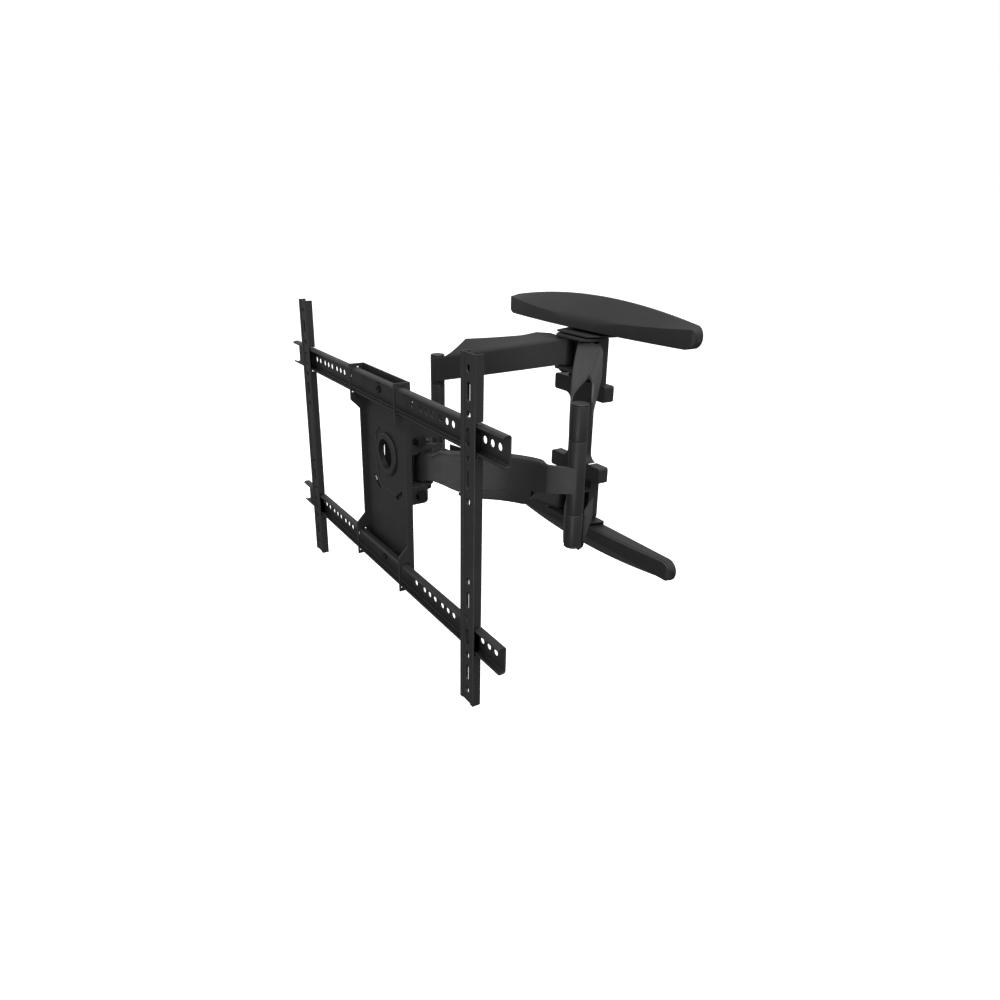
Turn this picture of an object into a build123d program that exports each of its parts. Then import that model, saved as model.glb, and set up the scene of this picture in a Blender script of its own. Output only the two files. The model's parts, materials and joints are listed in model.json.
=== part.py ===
"""Full-motion TV wall mount with two folding arms.

Frame: origin on the wall face at the centre of the wall bracket, +Z up,
+X to the right and -Y out into the room.  Units are millimetres.
"""
import os
from math import atan2, cos, degrees, hypot, radians, sin

from build123d import *

# ---------------------------------------------------------------- dimensions
# Linkage
ARM_LEN = 221.0            # pivot to pivot, both stages
ARM_ANGLE = 40.0           # first-stage arm to the wall in the pose drawn
PIVOT_X = 25.0             # half spacing of the paired pivots
WALL_PIVOT_Y = -38.0
ELBOW_X = PIVOT_X + ARM_LEN * cos(radians(ARM_ANGLE))
ELBOW_Y = WALL_PIVOT_Y - ARM_LEN * sin(radians(ARM_ANGLE))
HEAD_Y = WALL_PIVOT_Y - 2 * ARM_LEN * sin(radians(ARM_ANGLE))

# Common fits
RUN_FIT = 0.05             # radial running clearance of a pin in its bush
OPEN_FIT = 0.6             # radial clearance at the opened head pivot
GAP = 0.35                 # clearance between neighbouring pieces
SHEET = 2.5                # arm sheet
PLATE = 3.0                # bracket sheet

# Wall bracket
COLUMN_FRONT = -20.5       # stretches that carry the yokes
COLUMN_BACK = -3.0
EAR_FRONT = -27.5          # neck and ears stand further out
EAR_BACK = -8.5
COLUMN_TOP = 152.4
COLUMN_HALF = 38.0
NECK_HALF = 19.5
EAR_HALF = 64.0
EAR_LOW = 54.0
EAR_TOP = 80.0
NECK_FILLET = 14.0
COLUMN_SLOT_W = 9.0
COLUMN_SLOT_L = 30.0
COLUMN_SLOT_Z = 20.0
YOKE_RADIUS = 17.0
YOKE_LEAF = 4.0
YOKE_TOP = 150.5
YOKE_BOTTOM = 95.5
YOKE_HALF = 38.0
WALL_PLATE_HALF = 216.0
WALL_PLATE_LOW = 162.2
WALL_PLATE_HIGH = 180.0
WALL_PLATE_MID_HIGH = 192.0
WALL_PLATE_MID_HALF = 120.0
WALL_PLATE_CHAMFER = 5.0
STUD_HALF = 203.0
WALL_SLOT_L = 20.0
WALL_SLOT_W = 8.5
WALL_SLOT_Z = 173.0
CENTRE_SLOT_HALF = 76.0
SHELF_FRONT = -48.0
SHELF_HALF_FRONT = 38.0
SHELF_HALF_BACK = 54.0
SHELF_LOW = 152.5

# Wall covers
COVER_HALF = 225.0
COVER_LOW = 159.0
COVER_TOP_MID = 210.0
COVER_TOP_END = 190.0
COVER_DEPTH_MID = 32.0
COVER_DEPTH_END = 16.0
COVER_CREASE_MID = 177.0
COVER_CREASE_END = 188.0
COVER_WALL = 2.6
COVER_TOP_LIP = 4.0
COVER_CORNER = 14.0
COVER_CORNER_RISE = 6.0    # of the end corners above the end height
COVER_STATIONS = 9

# First-stage arm, upper branch
BARREL_R = 13.0
BARREL_LOW = 101.5
BARREL_HIGH = 144.5
WALL_PIN_R = 6.0
WALL_BUSH_R = 8.0
WEB_TOP_WALL = 144.0
WEB_TOP_ELBOW = 98.3
WEB_LOW_WALL = 103.0
WEB_LOW_ELBOW = 57.0
HOOD_START = 38.0
HOOD_END = 174.0
HOOD_OPEN = 213.0
HOOD_Z_START = 146.0
HOOD_Z_END = 129.0
HOOD_SHOULDER = 6.0

# Elbow
ELBOW_R = 12.0
ELBOW_TOP = 98.5
ELBOW_SPLIT = 52.0
ELBOW_WASHER = 0.9
ELBOW_PIN_R = 6.0
ELBOW_BUSH_R = 8.0
ELBOW_BUSH_LEN = 22.0
CAP_H = 3.0

# Forearm
FOREARM_T = 3.0
HEAD_BARREL_R = 14.0
HEAD_BARREL_LOW = -29.0
HEAD_BARREL_HIGH = 13.0
HEAD_PIN_R = 6.0
HEAD_BUSH_R = 8.5
FLANGE_W = 13.0
COVER_S0 = 62.0
COVER_S1 = 166.0
CABLE_DEPTH = 22.0
CABLE_T = 2.0
CABLE_GAP = 1.0
CABLE_CHAMFER = 9.0
# Sheet seen from above (along, sideways), then its top and bottom edges (along, height)
FOREARM_PATH = ((0.0, 10.5), (34.0, 10.5), (42.0, 8.5), (66.0, -1.0), (92.0, -5.5), (118.0, -5.0),
                (157.0, 2.0), (ARM_LEN - 18, 10.5), (ARM_LEN, 12.5))
FOREARM_TOP = ((-5.0, 16.0), (36.0, 16.0), (42.0, 17.5), (100.0, 16.5), (190.0, 15.0), (203.0, 12.5),
               (232.0, 12.5))
FOREARM_LOW = ((232.0, -27.0), (203.0, -27.0), (185.0, -33.5), (168.0, -41.5), (36.0, -24.0),
               (-5.0, -20.5))
CABLE_LOW = -51.0

# Head block
HEAD_HALF = 40.0
HEAD_FRONT = HEAD_Y - 30.0
LEAF_T = 5.0
LEAF_TOP = 20.5
LEAF_LOW = -36.5
LEAF_REACH = 13.0
LEAF_CHAMFER = 10.0
CHEEK_T = 3.0
CHEEK_BACK = HEAD_Y - 5.0
CHEEK_LOW = -61.0
CHEEK_HIGH = 40.0

# Tilt plate
PLATE_FRONT = HEAD_Y - 44.9
TILT_PIVOT_Y = HEAD_Y - 13.5
TILT_PIVOT_Z = -47.0
TILT_SLOT_R = 80.0
TILT_SLOT_BACK = 16.0      # degrees of slot behind the bolt
TILT_SLOT_FRONT = 6.0
TILT_WEB_BACK = PLATE_FRONT + 2 * PLATE + 0.25
TILT_HALF = 44.0
TILT_LOW = -70.0
TILT_HIGH = 88.0
EAR_BACK_LOW = HEAD_Y - 2.5
EAR_BACK_HIGH = HEAD_Y + 15.6
EAR_LOW_Z = (-59.0, -33.0)
EAR_HIGH_Z = (14.0, 20.0, 60.0, 88.0)   # web, rear bottom, rear top, web
EAR_STEP_Y = TILT_PIVOT_Y + 4.0
EAR_FILLET = 5.0
M8_R = 4.0
M8_HEAD_R = 6.5
M8_HEAD_H = 5.0
WASHER_R = 8.0
WASHER_T = 1.6

# TV plate
PLATE_Z = -24.0            # centre height of the TV plate
PLATE_HALF = 74.5
PLATE_HALF_H = 148.0
FLANGE_MID = PLATE_FRONT - 7.0
FLANGE_END = PLATE_FRONT - 20.5
FLANGE_STEP_Z = 96.0
FLANGE_RAMP_Z = 82.0
HUB_Z = 7.0
HUB_R = 25.0
HUB_BORE_R = 21.5
HUB_FLANGE_R = 31.0
HUB_FLANGE_T = 4.0
# Shallow pocket round the hub, (x, z), and its depth
POCKET = ((-37.0, HUB_Z + 20), (-37.0, HUB_Z), (-33.0, -34.0), (-24.0, -46.0), (24.0, -46.0), (33.0, -34.0),
          (37.0, HUB_Z), (37.0, HUB_Z + 20), (22.0, HUB_Z + 34), (-22.0, HUB_Z + 34))
POCKET_DEPTH = 1.2
LEVEL_SCREW_R = 64.0
LEVEL_SCREW_ANGLES = (-54.5, -125.5)
LEVEL_SLOT_HALF_ANGLE = 9.0
LEVEL_SLOT_HALF = 3.2
M5_R = 2.5
RAIL_HEAD_R = 5.0
RAIL_HEAD_H = 2.2
RAIL_HEX_R = 3.0

# Rails
RAIL_HALF = 325.0
RAIL_Z = 125.0             # rail height above and below the plate centre
RAIL_HALF_H = 18.0
RAIL_BACK = PLATE_FRONT - 6.2
RAIL_FRONT = RAIL_BACK - 11.5
RAIL_T = 2.0
RAIL_LIP = 4.0
RAIL_HOLE_R = 4.3
RAIL_HOLE_GROUPS = (140.0, 190.0, 240.0, 290.0)
RAIL_HOLE_PITCH = 15.0
RAIL_SINGLE_HOLE = 101.0
RAIL_SLIT = (14.0, 3.0, 9.0)

# TV arms
TV_ARM_X = 258.0
TV_ARM_HALF = 15.6
TV_ARM_HALF_H = 217.0
TV_ARM_FRONT = RAIL_FRONT - 0.5 - 2.0
TV_ARM_T = 2.0
TV_ARM_DEPTH = 11.5
TV_BEAD = 1.2
TV_BEAD_W = 6.0
TV_HOLE_R = 4.2
TV_HOLES = (50.0, 100.0, 150.0, 200.0)
TV_SLOTS = (75.0, 175.0)
TV_SLOT_L = 22.0
TV_SLOT_W = 7.0
LOCK_SLOT_L = 20.0
LOCK_SLOT_W = 9.0
LOCK_HEAD_L = 16.0
LOCK_HEAD_W = 7.4
LOCK_HEAD_SINK = 0.5
NOTCH_HALF = 19.5


# ------------------------------------------------------------------- helpers
def block(x0, x1, y0, y1, z0, z1):
    """Axis-aligned block between two corners."""
    centre = Pos((x0 + x1) / 2, (y0 + y1) / 2, (z0 + z1) / 2)
    return centre * Box(abs(x1 - x0), abs(y1 - y0), abs(z1 - z0))


def rod_z(x, y, z0, z1, r):
    """Upright cylinder."""
    return Pos(x, y, (z0 + z1) / 2) * Cylinder(r, z1 - z0)


def rod_y(x, z, y0, y1, r):
    """Cylinder along Y."""
    return Pos(x, (y0 + y1) / 2, z) * Rot(90, 0, 0) * Cylinder(r, y1 - y0)


def rod_x(y, z, x0, x1, r):
    """Cylinder along X."""
    return Pos((x0 + x1) / 2, y, z) * Rot(0, 90, 0) * Cylinder(r, x1 - x0)


def prism_z(points, z0, z1):
    """Prism over an XY outline."""
    face = make_face(Polyline(points, close=True))
    return Pos(0, 0, z0) * extrude(face, z1 - z0)


def prism_y(points, y0, y1):
    """Prism over an XZ outline."""
    face = make_face(Polyline(points, close=True))
    return Plane.XZ.offset(-y1) * extrude(face, y1 - y0)


def prism_x(points, x0, x1):
    """Prism over a YZ outline."""
    face = make_face(Polyline(points, close=True))
    return Plane.YZ.offset(x0) * extrude(face, x1 - x0)


def slot_y(x, z, length, width, y0, y1, upright=False):
    """Obround cutter along Y, long axis level or upright."""
    half = (length - width) / 2
    dx, dz = (0, half) if upright else (half, 0)
    ends = rod_y(x - dx, z - dz, y0, y1, width / 2) + rod_y(x + dx, z + dz, y0, y1, width / 2)
    if upright:
        return ends + block(x - width / 2, x + width / 2, y0, y1, z - half, z + half)
    return ends + block(x - half, x + half, y0, y1, z - width / 2, z + width / 2)


def ribbon(path, thickness):
    """Closed outline of a strip that follows a path of points."""
    left, right = [], []
    for i, (x, y) in enumerate(path):
        x0, y0 = path[max(i - 1, 0)]
        x1, y1 = path[min(i + 1, len(path) - 1)]
        length = hypot(x1 - x0, y1 - y0)
        nx, ny = -(y1 - y0) / length, (x1 - x0) / length
        half = thickness / 2
        left.append((x + nx * half, y + ny * half))
        right.append((x - nx * half, y - ny * half))
    return left + right[::-1]


def tube_z(x, y, z0, z1, outer, inner):
    """Upright tube."""
    return rod_z(x, y, z0, z1, outer) - rod_z(x, y, z0 - 1, z1 + 1, inner)


def group(solids):
    """Several separate solids as one node."""
    return Compound(children=list(solids))


def flip_x(shape):
    """Mirror to the left-hand side."""
    return mirror(shape, about=Plane.YZ)


def flip_z(shape):
    """Mirror to the lower half of the wall bracket."""
    return mirror(shape, about=Plane.XY)


# -------------------------------------------------------------- wall bracket
def column_outline(inset):
    """Hourglass outline with two pairs of ears, XZ."""
    body = RectangleRounded(2 * (COLUMN_HALF - inset), 2 * (COLUMN_TOP - inset), 6)
    waist = Rectangle(2 * COLUMN_HALF, 2 * EAR_LOW)
    neck = Rectangle(2 * (NECK_HALF - inset), 2 * EAR_LOW + 2)
    shape = body - waist + neck
    ear_h = EAR_TOP - EAR_LOW - 2 * inset
    for side in (-1, 1):
        centre_z = side * (EAR_LOW + EAR_TOP) / 2
        shape += Pos(0, centre_z) * RectangleRounded(2 * (EAR_HALF - inset), ear_h, 4)
        for hand in (-1, 1):
            corner_x = hand * (NECK_HALF - inset)
            corner_z = side * (EAR_LOW + inset)
            reach = NECK_FILLET
            web = Pos(corner_x + hand * reach / 2, corner_z - side * reach / 2) * Rectangle(reach, reach)
            round_off = Pos(corner_x + hand * reach, corner_z - side * reach) * Circle(reach)
            shape += web - round_off
    return shape


def column_pan(front, back):
    """Pan pressed from sheet, open to the wall."""
    outer = Plane.XZ.offset(-back) * extrude(column_outline(0), back - front)
    inner = Plane.XZ.offset(-back - 1) * extrude(column_outline(PLATE), back - front - PLATE + 1)
    return outer - inner


def wall_column():
    """Pressed-steel column: its neck and ears stand out further than its ends."""
    half = EAR_HALF + 1
    middle = block(-half, half, EAR_FRONT - 1, 0, -EAR_TOP, EAR_TOP)
    part = (column_pan(EAR_FRONT, EAR_BACK) & middle) + (column_pan(COLUMN_FRONT, COLUMN_BACK) - middle)
    for side in (-1, 1):
        z0, z1 = sorted((side * (EAR_TOP - PLATE), side * EAR_TOP))
        part += block(-COLUMN_HALF, COLUMN_HALF, EAR_FRONT, COLUMN_BACK, z0, z1)
        part -= slot_y(0, side * COLUMN_SLOT_Z, COLUMN_SLOT_L, COLUMN_SLOT_W, EAR_FRONT - 1, EAR_BACK, True)
    return part


def yoke_leaf_outline():
    """Leaf that carries both wall pivots, XY."""
    front = WALL_PIVOT_Y - YOKE_RADIUS
    half = PIVOT_X + YOKE_RADIUS
    chamfer = YOKE_RADIUS * 0.7
    return [(-half, COLUMN_FRONT), (-half, front + chamfer), (-half + chamfer, front),
            (half - chamfer, front), (half, front + chamfer), (half, COLUMN_FRONT)]


def pivot_yoke():
    """C-shaped yoke bolted to the column, upper one."""
    web = block(-YOKE_HALF, YOKE_HALF, COLUMN_FRONT - PLATE, COLUMN_FRONT, YOKE_BOTTOM, YOKE_TOP)
    part = web + prism_z(yoke_leaf_outline(), YOKE_TOP - YOKE_LEAF, YOKE_TOP)
    part += prism_z(yoke_leaf_outline(), YOKE_BOTTOM, YOKE_BOTTOM + YOKE_LEAF)
    for x in (-PIVOT_X, PIVOT_X):
        part -= rod_z(x, WALL_PIVOT_Y, YOKE_BOTTOM - 1, YOKE_TOP + 1, WALL_PIN_R + RUN_FIT)
    return part


def wall_pin(x):
    """Wall pivot pin with a domed head under the lower leaf."""
    pin = rod_z(x, WALL_PIVOT_Y, YOKE_BOTTOM - 7, YOKE_TOP + 1.4, WALL_PIN_R)
    head = fillet(Cylinder(M8_HEAD_R + 3, 5).edges().group_by(Axis.Z)[0], 2)
    return pin + Pos(x, WALL_PIVOT_Y, YOKE_BOTTOM - 2.85) * head


def wall_plate():
    """Slotted plate on the wall with a shelf under the cover, upper one."""
    cut = WALL_PLATE_CHAMFER
    outline = [(-WALL_PLATE_HALF, WALL_PLATE_LOW + cut), (-WALL_PLATE_HALF + cut, WALL_PLATE_LOW),
               (WALL_PLATE_HALF - cut, WALL_PLATE_LOW), (WALL_PLATE_HALF, WALL_PLATE_LOW + cut),
               (WALL_PLATE_HALF, WALL_PLATE_HIGH - 6), (WALL_PLATE_HALF - 14, WALL_PLATE_HIGH),
               (WALL_PLATE_MID_HALF, WALL_PLATE_MID_HIGH), (-WALL_PLATE_MID_HALF, WALL_PLATE_MID_HIGH),
               (-WALL_PLATE_HALF + 14, WALL_PLATE_HIGH), (-WALL_PLATE_HALF, WALL_PLATE_HIGH - 6)]
    part = prism_y(outline, -PLATE, 0)
    part += block(-SHELF_HALF_BACK, SHELF_HALF_BACK, -PLATE, 0, SHELF_LOW, WALL_PLATE_LOW + 1)
    shelf = [(-SHELF_HALF_BACK, 0), (-SHELF_HALF_BACK, -8), (-SHELF_HALF_FRONT, SHELF_FRONT),
             (SHELF_HALF_FRONT, SHELF_FRONT), (SHELF_HALF_BACK, -8), (SHELF_HALF_BACK, 0)]
    part += prism_z(shelf, SHELF_LOW, SHELF_LOW + PLATE)
    for x in (-STUD_HALF, STUD_HALF):
        part -= slot_y(x, WALL_SLOT_Z, WALL_SLOT_L, WALL_SLOT_W, -PLATE - 1, 1)
    for x in (-CENTRE_SLOT_HALF, 0, CENTRE_SLOT_HALF):
        part -= slot_y(x, WALL_SLOT_Z, WALL_SLOT_L, WALL_SLOT_W, -PLATE - 1, 1)
    return part


def cover_section(x, inset):
    """Section of the cover at one station, YZ."""
    t = abs(x) / COVER_HALF
    top = COVER_TOP_MID - (COVER_TOP_MID - COVER_TOP_END) * t ** 2 - 1.4 * inset
    depth = COVER_DEPTH_MID - (COVER_DEPTH_MID - COVER_DEPTH_END) * t ** 2 - inset
    crease = COVER_CREASE_MID + (COVER_CREASE_END - COVER_CREASE_MID) * t ** 2 - 0.6 * inset
    low = COVER_LOW + inset
    crease = min(crease, top - 2)
    back = 0.0 if inset == 0 else 1.0
    crest = COVER_TOP_LIP - 0.4 * inset
    return [(back, low), (-depth, low), (-depth, crease), (-crest, top), (back, top)]


def cover_body(inset):
    """Boat-shaped body of the cover, before hollowing."""
    half = COVER_HALF - inset
    faces = []
    for i in range(COVER_STATIONS):
        x = -half + 2 * half * i / (COVER_STATIONS - 1)
        plane = Plane.YZ.offset(x)
        faces.append(plane * make_face(Polyline(cover_section(x, inset), close=True)))
    body = loft(faces, ruled=True)
    trim = RectangleRounded(2 * half, 2 * COVER_TOP_MID, COVER_CORNER - inset)
    mask = Pos(0, COVER_TOP_END - COVER_TOP_MID + COVER_CORNER_RISE - inset) * trim
    bottom = Pos(0, COVER_LOW + inset + COVER_TOP_MID) * trim
    top_mask = mask + Rectangle(2 * (COVER_HALF - 34), 4 * COVER_TOP_MID)
    cutter = Plane.XZ.offset(-2) * extrude(top_mask, COVER_DEPTH_MID + 4)
    floor = Plane.XZ.offset(-2) * extrude(bottom, COVER_DEPTH_MID + 4)
    return body & cutter & floor


def wall_cover():
    """Moulded cover over the upper wall plate, notched for the shelf's web."""
    half = SHELF_HALF_BACK + 0.5
    notch = block(-half, half, -PLATE - 0.4, 1, COVER_LOW - 1, COVER_LOW + COVER_WALL + 1)
    return cover_body(0) - cover_body(COVER_WALL) - notch


# --------------------------------------------------------------- first stage
def hood_section(s, inset):
    """Gothic section of the upper branch at distance s from the wall pivot."""
    span = s / ARM_LEN
    top = WEB_TOP_WALL + (WEB_TOP_ELBOW - WEB_TOP_WALL) * span
    low = WEB_LOW_WALL + (WEB_LOW_ELBOW - WEB_LOW_WALL) * span
    grow = min(max((s - HOOD_START) / (HOOD_END - HOOD_START), 0), 1)
    ridge_z = HOOD_Z_START + (HOOD_Z_END - HOOD_Z_START) * grow
    ridge_q = 21 - 16 * grow
    outer_q = 27 - 14.5 * grow
    inner_q = -13 - 3 * sin(radians(180 * min(max(span, 0), 1)))
    base = low - (2 if inset else 0)
    return [(inner_q + inset, base), (inner_q + inset, top - 0.5 * inset),
            (ridge_q, ridge_z - 1.25 * inset), (outer_q - inset, ridge_z - HOOD_SHOULDER - 0.4 * inset),
            (outer_q - inset, base)]


def hood_body(inset):
    """Lofted body of the upper branch along local X."""
    faces = []
    for s in (-16, 0, HOOD_START, 75, 106, 140, HOOD_END, HOOD_OPEN, ARM_LEN):
        plane = Plane(origin=(s, 0, 0), x_dir=(0, 1, 0), z_dir=(1, 0, 0))
        faces.append(plane * make_face(Polyline(hood_section(s, inset), close=True)))
    return loft(faces, ruled=True)


def first_stage_local():
    """Upper branch with its wall barrel and elbow sleeve, pivot at the origin."""
    part = hood_body(0) - hood_body(SHEET)
    mouth = [(HOOD_END, 165), (HOOD_END, HOOD_Z_END), (HOOD_OPEN, WEB_TOP_ELBOW),
             (240, WEB_TOP_ELBOW), (240, 165)]
    part -= Plane.XZ.offset(-40) * extrude(make_face(Polyline(mouth, close=True)), 80)
    part -= prism_z([(-40, -25), (-14, -25), (49, 38), (-40, 38)], 40, 170)
    part += rod_z(0, 0, BARREL_LOW, BARREL_HIGH, BARREL_R)
    part += rod_z(ARM_LEN, 0, ELBOW_SPLIT, ELBOW_TOP, ELBOW_R)
    part -= rod_z(0, 0, BARREL_LOW - 1, BARREL_HIGH + 1, WALL_BUSH_R)
    part -= rod_z(ARM_LEN, 0, ELBOW_SPLIT - 1, ELBOW_TOP + 1, ELBOW_PIN_R + RUN_FIT)
    return part


def place_first(shape):
    """Local first-stage frame to the right-hand arm."""
    return Pos(PIVOT_X, WALL_PIVOT_Y, 0) * Rot(0, 0, -ARM_ANGLE) * shape


def wall_bush_local():
    """Flanged bush pressed in the wall barrel, both ends."""
    inner = WALL_PIN_R + RUN_FIT
    bushes = []
    for low, high, flange in ((BARREL_LOW, BARREL_LOW + 14, -1), (BARREL_HIGH - 14, BARREL_HIGH, 1)):
        body = tube_z(0, 0, low, high, WALL_BUSH_R - 0.01, inner)
        edge = high if flange > 0 else low - 1.4
        bushes.append(body + tube_z(0, 0, edge, edge + 1.4, BARREL_R - 1, inner))
    return bushes


def elbow_pin_local():
    """Pin through the whole elbow."""
    return rod_z(0, 0, -ELBOW_TOP, ELBOW_TOP, ELBOW_PIN_R)


def elbow_cap_local():
    """Moulded cap on the end of the elbow."""
    cap = Cylinder(ELBOW_R, CAP_H)
    return Pos(0, 0, ELBOW_TOP + CAP_H / 2) * fillet(cap.edges().group_by(Axis.Z)[-1], 2)


# ------------------------------------------------------------------- forearm
def forearm_local():
    """Forearm sheet with elbow tube and head barrel, elbow at the origin."""
    sheet = prism_z(ribbon(FOREARM_PATH, FOREARM_T), -70, 50)
    side = make_face(Polyline(FOREARM_TOP + FOREARM_LOW, close=True))
    sheet = sheet & (Plane.XZ.offset(-40) * extrude(side, 80))
    path = FOREARM_PATH[2:-1]
    lip = prism_z(list(path) + [(s, q - FLANGE_W) for s, q in reversed(path)], -70, 50)
    band = FOREARM_TOP[2:5] + tuple((s, z - SHEET) for s, z in FOREARM_TOP[4:1:-1])
    lip = lip & (Plane.XZ.offset(-40) * extrude(make_face(Polyline(band, close=True)), 80))
    part = sheet + lip
    split = ELBOW_SPLIT - ELBOW_WASHER
    part += rod_z(0, 0, -split, split, ELBOW_R)
    part += rod_z(ARM_LEN, 0, HEAD_BARREL_LOW, HEAD_BARREL_HIGH, HEAD_BARREL_R)
    part -= rod_z(0, 0, -split - 1, split + 1, ELBOW_BUSH_R)
    part -= rod_z(ARM_LEN, 0, HEAD_BARREL_LOW - 1, HEAD_BARREL_HIGH + 1, HEAD_BUSH_R)
    return part


def place_fore(shape):
    """Local forearm frame to the right-hand forearm."""
    return Pos(ELBOW_X, ELBOW_Y, 0) * Rot(0, 0, 180 + ARM_ANGLE) * shape


def elbow_bush_local():
    """Flanged bushes at both ends of the forearm tube."""
    split = ELBOW_SPLIT - ELBOW_WASHER
    inner = ELBOW_PIN_R + RUN_FIT
    upper = tube_z(0, 0, split - ELBOW_BUSH_LEN, split, ELBOW_BUSH_R - 0.01, inner)
    upper += tube_z(0, 0, split, split + ELBOW_WASHER - RUN_FIT, ELBOW_R - 0.6, inner)
    return [upper, flip_z(upper)]


def head_bush_local(clearance):
    """Flanged bushes at both ends of the head barrel."""
    inner = HEAD_PIN_R + clearance
    bushes = []
    for low, high, edge in ((HEAD_BARREL_LOW, HEAD_BARREL_LOW + 14, HEAD_BARREL_LOW - 1.6),
                            (HEAD_BARREL_HIGH - 14, HEAD_BARREL_HIGH, HEAD_BARREL_HIGH)):
        body = tube_z(ARM_LEN, 0, low, high, HEAD_BUSH_R - 0.01, inner)
        bushes.append(body + tube_z(ARM_LEN, 0, edge, edge + 1.6, HEAD_BARREL_R - 1, inner))
    return bushes


def outline_height(outline, s):
    """Height of a side outline at distance s along the arm."""
    points = sorted(outline)
    for (s0, z0), (s1, z1) in zip(points, points[1:]):
        if s0 <= s <= s1:
            return z0 + (z1 - z0) * (s - s0) / (s1 - s0)
    return points[-1][1]


def path_offset(s):
    """Sideways place of the forearm sheet at distance s."""
    return outline_height(FOREARM_PATH, s)


def cable_cover_local():
    """Moulded cable trough under the forearm sheet."""
    inner_path = [(s, q) for s, q in FOREARM_PATH if COVER_S0 < s < COVER_S1]
    path = [(COVER_S0, path_offset(COVER_S0))] + inner_path + [(COVER_S1, path_offset(COVER_S1))]
    near = [(s, q + FOREARM_T / 2) for s, q in path]
    far = [(s, q - CABLE_DEPTH) for s, q in reversed(path)]
    outer = prism_z(near + far, CABLE_LOW, 0)
    hollow_near = [(s, q - CABLE_T) for s, q in near]
    hollow_far = [(s, q + CABLE_T) for s, q in far]
    inner = prism_z(hollow_near + hollow_far, CABLE_LOW + CABLE_T, 1)
    top = [(s, outline_height(FOREARM_LOW, s) - CABLE_GAP) for s in (COVER_S1, COVER_S0)]
    side = [(COVER_S0, CABLE_LOW + CABLE_CHAMFER), (COVER_S0 + CABLE_CHAMFER, CABLE_LOW),
            (COVER_S1 - CABLE_CHAMFER, CABLE_LOW), (COVER_S1, CABLE_LOW + CABLE_CHAMFER / 2)] + top
    mask = Plane.XZ.offset(-40) * extrude(make_face(Polyline(side, close=True)), 80)
    return (outer - inner) & mask


# ---------------------------------------------------------------------- head
def head_leaf(z0, z1):
    """Leaf that carries both head pivots."""
    back = HEAD_Y + LEAF_REACH
    half = HEAD_HALF
    cut = LEAF_CHAMFER
    points = [(-half, HEAD_FRONT), (half, HEAD_FRONT), (half, back - cut), (half - cut, back),
              (-half + cut, back), (-half, back - cut)]
    return prism_z(points, z0, z1)


def head_block():
    """Box bracket between the forearms and the tilt plate."""
    part = block(-HEAD_HALF, HEAD_HALF, HEAD_FRONT, HEAD_FRONT + PLATE, CHEEK_LOW, CHEEK_HIGH)
    for x0, x1 in ((-HEAD_HALF, -HEAD_HALF + CHEEK_T), (HEAD_HALF - CHEEK_T, HEAD_HALF)):
        part += block(x0, x1, HEAD_FRONT, CHEEK_BACK, LEAF_TOP - LEAF_T, CHEEK_HIGH)
        part += block(x0, x1, HEAD_FRONT, CHEEK_BACK, CHEEK_LOW, LEAF_LOW + LEAF_T)
    part += head_leaf(LEAF_TOP - LEAF_T, LEAF_TOP)
    part += head_leaf(LEAF_LOW, LEAF_LOW + LEAF_T)
    for x in (-PIVOT_X, PIVOT_X):
        part -= rod_z(x, HEAD_Y, LEAF_LOW - 1, LEAF_TOP + 1, HEAD_PIN_R + RUN_FIT)
    slot_y0, slot_z0 = TILT_PIVOT_Y, TILT_PIVOT_Z + TILT_SLOT_R
    part -= rod_x(TILT_PIVOT_Y, TILT_PIVOT_Z, -HEAD_HALF - 1, HEAD_HALF + 1, M8_R + RUN_FIT)
    part -= rod_x(slot_y0, slot_z0, -HEAD_HALF - 1, HEAD_HALF + 1, M8_R + RUN_FIT)
    return part


def head_pin(x):
    """Head pivot pin with its head above the top leaf."""
    pin = rod_z(x, HEAD_Y, LEAF_LOW - 8, LEAF_TOP + 2, HEAD_PIN_R)
    head = fillet(Cylinder(9.0, 8).edges().group_by(Axis.Z)[-1], 2)
    return pin + Pos(x, HEAD_Y, LEAF_TOP + 4) * head


def hex_nut(r_flat, height, bore):
    """Hexagon nut along Z with its base at the origin."""
    body = extrude(RegularPolygon(r_flat, 6, major_radius=False), height)
    return body - rod_z(0, 0, -1, height + 1, bore)


def tilt_bolt(z):
    """Right-hand side bolt with washer, along X through ear and cheek."""
    x0 = HEAD_HALF - CHEEK_T - 3
    x1 = HEAD_HALF + GAP + PLATE
    shank = rod_x(TILT_PIVOT_Y, z, x0, x1 + 1, M8_R)
    washer = rod_x(TILT_PIVOT_Y, z, x1 + 0.02, x1 + WASHER_T, WASHER_R)
    head = Pos(x1 + WASHER_T, TILT_PIVOT_Y, z) * Rot(0, 90, 0)
    head *= extrude(RegularPolygon(M8_HEAD_R, 6, major_radius=False), M8_HEAD_H)
    return shank + washer + head


# --------------------------------------------------------------- tilt plate
def arc_slot_x(radius, half, start, end, x0, x1):
    """Arc slot cutter about the tilt pivot; angles from upright, degrees."""
    cutter = None
    steps = 12
    for i in range(steps + 1):
        angle = radians(start + (end - start) * i / steps)
        y = TILT_PIVOT_Y + radius * sin(angle)
        z = TILT_PIVOT_Z + radius * cos(angle)
        bead = rod_x(y, z, x0, x1, half)
        cutter = bead if cutter is None else cutter + bead
    return cutter


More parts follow.
